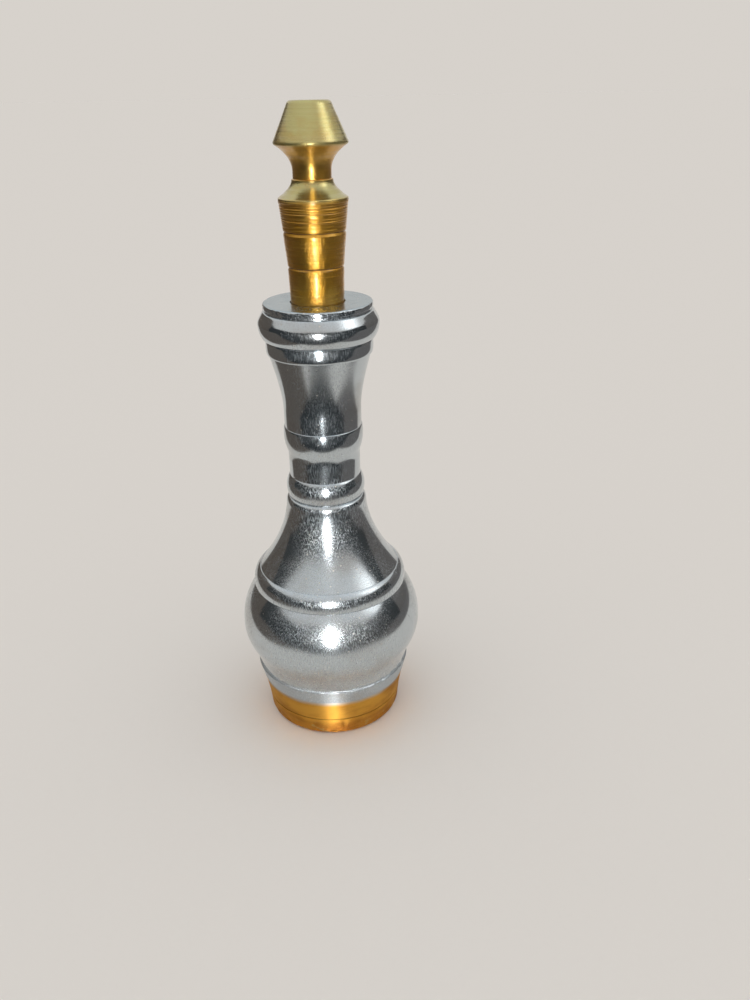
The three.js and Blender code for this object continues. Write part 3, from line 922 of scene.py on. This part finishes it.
class KOHLPOT_OT_stopper(bpy.types.Operator):
    """Turn the brass stopper"""

    bl_idname = "kohl_pot.make_stopper"
    bl_label = "Stopper"

    def execute(self, context):
        settings = context.scene.kohl_pot
        sizes = settings.stopper
        mesh = stopper_outline(sizes).turned(TURN_STEPS["stopper"])
        lower = MOUTH + sizes.lower_height
        upper = lower + sizes.middle_height
        nick(
            mesh, seed=47, count=70, low=lower + 0.4 * MM, high=upper - 0.4 * MM,
            inside=2 * MM, depth=0.03 * MM, size=0.5 * MM,
        )
        nick(
            mesh, seed=53, count=50, low=MOUTH + 0.6 * MM, high=lower - 0.5 * MM,
            inside=2 * MM, depth=0.018 * MM, size=0.5 * MM,
        )
        make_piece("stopper", mesh, brass_finish(settings.finish), "closure")
        return {"FINISHED"}


class KOHLPOT_OT_rod(bpy.types.Operator):
    """Turn the applicator rod"""

    bl_idname = "kohl_pot.make_rod"
    bl_label = "Applicator rod"

    def execute(self, context):
        settings = context.scene.kohl_pot
        mesh = rod_outline(settings.rod).turned(TURN_STEPS["rod"])
        make_piece("applicator_rod", mesh, brass_finish(settings.finish), "closure")
        return {"FINISHED"}


def add_stage_mesh(name, mesh, finish):
    """Puts a mesh on the stage, which isn't part of the object."""
    data = bpy.data.meshes.new(name)
    mesh.to_mesh(data)
    mesh.free()
    data.materials.append(finish)
    card = bpy.data.objects.new(name, data)
    bpy.context.scene.collection.objects.link(card)
    return card


def add_floor(finish):
    """A round floor: a line from the axis to its edge, spun about the axis."""
    mesh = bmesh.new()
    mesh.edges.new([mesh.verts.new((radius, 0.0, 0.0)) for radius in (0.0, FLOOR_RADIUS)])
    bmesh.ops.spin(
        mesh, geom=mesh.verts[:] + mesh.edges[:], cent=(0, 0, 0), axis=(0, 0, 1),
        angle=FULL_TURN, steps=FLOOR_STEPS, use_merge=True,
    )
    bmesh.ops.remove_doubles(mesh, verts=mesh.verts, dist=MERGE_DISTANCE)
    add_stage_mesh("floor", mesh, finish)


def add_lamp(name, place, size, colour, strength):
    """A soft oval lamp that faces the middle of the object and is seen only in the metal."""
    width, height = size
    turn = (OBJECT_MIDDLE - Vector(place)).to_track_quat("Z", "Y")
    mesh = bmesh.new()
    bmesh.ops.create_circle(mesh, cap_ends=True, segments=LAMP_SEGMENTS, radius=0.5)
    bmesh.ops.scale(mesh, vec=(width, height, 1.0), verts=mesh.verts)
    bmesh.ops.rotate(mesh, cent=(0, 0, 0), matrix=turn.to_matrix(), verts=mesh.verts)
    bmesh.ops.translate(mesh, vec=place, verts=mesh.verts)
    light = lamp_finish(place, turn.to_euler(), width, height, colour, strength)
    lamp = add_stage_mesh(name, mesh, light)
    lamp.visible_camera = False
    lamp.visible_diffuse = False


def add_flag(name, cloth, wall, finish):
    """A card outside the picture for the polished metal to mirror: part of it lies, part stands."""
    mesh = bmesh.new()
    mesh.faces.new([mesh.verts.new((*corner, FLAG_LIFT)) for corner in cloth])
    foot = [mesh.verts.new((*corner, FLAG_LIFT)) for corner in wall]
    edges = [mesh.edges.new(ends) for ends in zip(foot, foot[1:])]
    raised = bmesh.ops.extrude_edge_only(mesh, edges=edges)["geom"]
    top = [part for part in raised if isinstance(part, bmesh.types.BMVert)]
    bmesh.ops.translate(mesh, vec=(0, 0, FLAG_HEIGHT), verts=top)
    flag = add_stage_mesh(name, mesh, finish)
    flag.visible_camera = False
    flag.visible_diffuse = False
    flag.visible_shadow = False


def stage_material(name):
    """An empty material of the stage and its nodes."""
    material = bpy.data.materials.new(name)
    material.use_nodes = True
    return material, Nodes(material.node_tree)


def matt_finish(name, colour):
    """Plain matt paper or card."""
    material, nodes = stage_material(name)
    matt = nodes.node("ShaderNodeBsdfDiffuse", None, {"Color": rgba(colour)})
    nodes.node("ShaderNodeOutputMaterial", None, {"Surface": matt})
    return material


def lamp_finish(place, turn, width, height, colour, strength):
    """Light that is strongest in the middle of an oval card."""
    material, nodes = stage_material("soft_lamp")
    middle = nodes.node(
        "ShaderNodeMapping", {"vector_type": "TEXTURE"},
        {
            "Vector": nodes.node("ShaderNodeTexCoord", output="Object"), "Location": place, "Rotation": turn,
            "Scale": (width / 2, height / 2, 1.0),
        },
    )
    away = nodes.node("ShaderNodeVectorMath", {"operation": "LENGTH"}, {0: middle}, "Value")
    glow = nodes.mix(nodes.step(away, 1.0, 0.0) ** 2, (0.0, 0.0, 0.0, 1.0), rgba(colour))
    light = nodes.node("ShaderNodeEmission", None, {"Color": glow, "Strength": strength})
    clear = nodes.node("ShaderNodeBsdfTransparent")
    both = nodes.node("ShaderNodeAddShader", None, {0: light, 1: clear})
    nodes.node("ShaderNodeOutputMaterial", None, {"Surface": both})
    return material


def light_world(world, floor, sky):
    """A dome that is brightest overhead and meets the lit floor in one tone at the horizon."""
    world.use_nodes = True
    nodes = Nodes(world.node_tree)
    horizon = [paint * light / 2 / (1 - paint / 2) for paint, light in zip(floor, sky)]
    way = nodes.node("ShaderNodeTexCoord", output="Generated")
    up = nodes.node("ShaderNodeSeparateXYZ", None, {"Vector": way}, "Z")
    clamped = nodes.node("ShaderNodeMapRange", None, {"Value": up, "From Min": 0.0, "From Max": 1.0})
    tone = nodes.mix(clamped ** 2, rgba(horizon), rgba(sky))
    dome = nodes.node("ShaderNodeBackground", None, {"Color": tone, "Strength": 1.0})
    nodes.node("ShaderNodeOutputWorld", None, {"Surface": dome})


class KOHLPOT_OT_stage(bpy.types.Operator):
    """Set up the floor, the light and the camera"""

    bl_idname = "kohl_pot.make_stage"
    bl_label = "Stage"

    def execute(self, context):
        scene = context.scene
        stage = scene.kohl_pot.stage
        add_floor(matt_finish("pale_floor", stage.floor))
        add_flag("front_flag", FRONT_CLOTH, FRONT_WALL, matt_finish("front_card", stage.front_flag))
        add_flag("left_flag", LEFT_CLOTH, LEFT_WALL, matt_finish("left_card", stage.left_flag))
        add_flag("right_flag", RIGHT_CLOTH, RIGHT_WALL, matt_finish("right_card", stage.right_flag))
        add_lamp("front_lamp", FRONT_LAMP_PLACE, FRONT_LAMP_SIZE, stage.lamp, stage.front_lamp)
        add_lamp("side_lamp", SIDE_LAMP_PLACE, SIDE_LAMP_SIZE, stage.lamp, stage.side_lamp)
        world = bpy.data.worlds.new("studio")
        scene.world = world
        light_world(world, stage.floor, stage.sky)
        data = bpy.data.cameras.new("photo_camera")
        data.lens = stage.camera_lens
        data.sensor_width = SENSOR_WIDTH
        data.clip_start = CLIP_START
        camera = bpy.data.objects.new("photo_camera", data)
        camera.matrix_world = (
            Matrix.Translation(stage.camera_place)
            @ Matrix.Rotation(math.radians(90) - stage.camera_pitch, 4, "X")
            @ Matrix.Rotation(-stage.camera_roll, 4, "Z")
        )
        scene.collection.objects.link(camera)
        scene.camera = camera
        scene.view_settings.view_transform = "Standard"
        return {"FINISHED"}


PIECES = {
    "foot": KOHLPOT_OT_foot,
    "belly": KOHLPOT_OT_belly,
    "neck": KOHLPOT_OT_neck,
    "stopper": KOHLPOT_OT_stopper,
    "rod": KOHLPOT_OT_rod,
    "stage": KOHLPOT_OT_stage,
}


class KOHLPOT_PT_sidebar(bpy.types.Panel):
    """Lists the pieces and their sizes"""

    bl_idname = "KOHLPOT_PT_sidebar"
    bl_label = "Kohl pot"
    bl_space_type = "VIEW_3D"
    bl_region_type = "UI"
    bl_category = "Kohl pot"

    def draw(self, context):
        settings = context.scene.kohl_pot
        for name, operator in PIECES.items():
            box = self.layout.box()
            box.operator(operator.bl_idname)
            for key in getattr(settings, name).__annotations__:
                box.prop(getattr(settings, name), key)
        finish = self.layout.box()
        for key in FinishSettings.__annotations__:
            finish.prop(settings.finish, key)


CLASSES = (
    FootSizes,
    BellySizes,
    NeckSizes,
    StopperSizes,
    RodSizes,
    FinishSettings,
    StageSettings,
    KohlPotSettings,
    *PIECES.values(),
    KOHLPOT_PT_sidebar,
)


def register():
    for each in CLASSES:
        bpy.utils.register_class(each)
    bpy.types.Scene.kohl_pot = bpy.props.PointerProperty(type=KohlPotSettings)


def unregister():
    del bpy.types.Scene.kohl_pot
    for each in reversed(CLASSES):
        bpy.utils.unregister_class(each)


def main():
    register()
    bpy.ops.kohl_pot.make_foot()
    bpy.ops.kohl_pot.make_belly()
    bpy.ops.kohl_pot.make_neck()
    bpy.ops.kohl_pot.make_stopper()
    bpy.ops.kohl_pot.make_rod()
    bpy.ops.kohl_pot.make_stage()


if __name__ == "__main__":
    main()
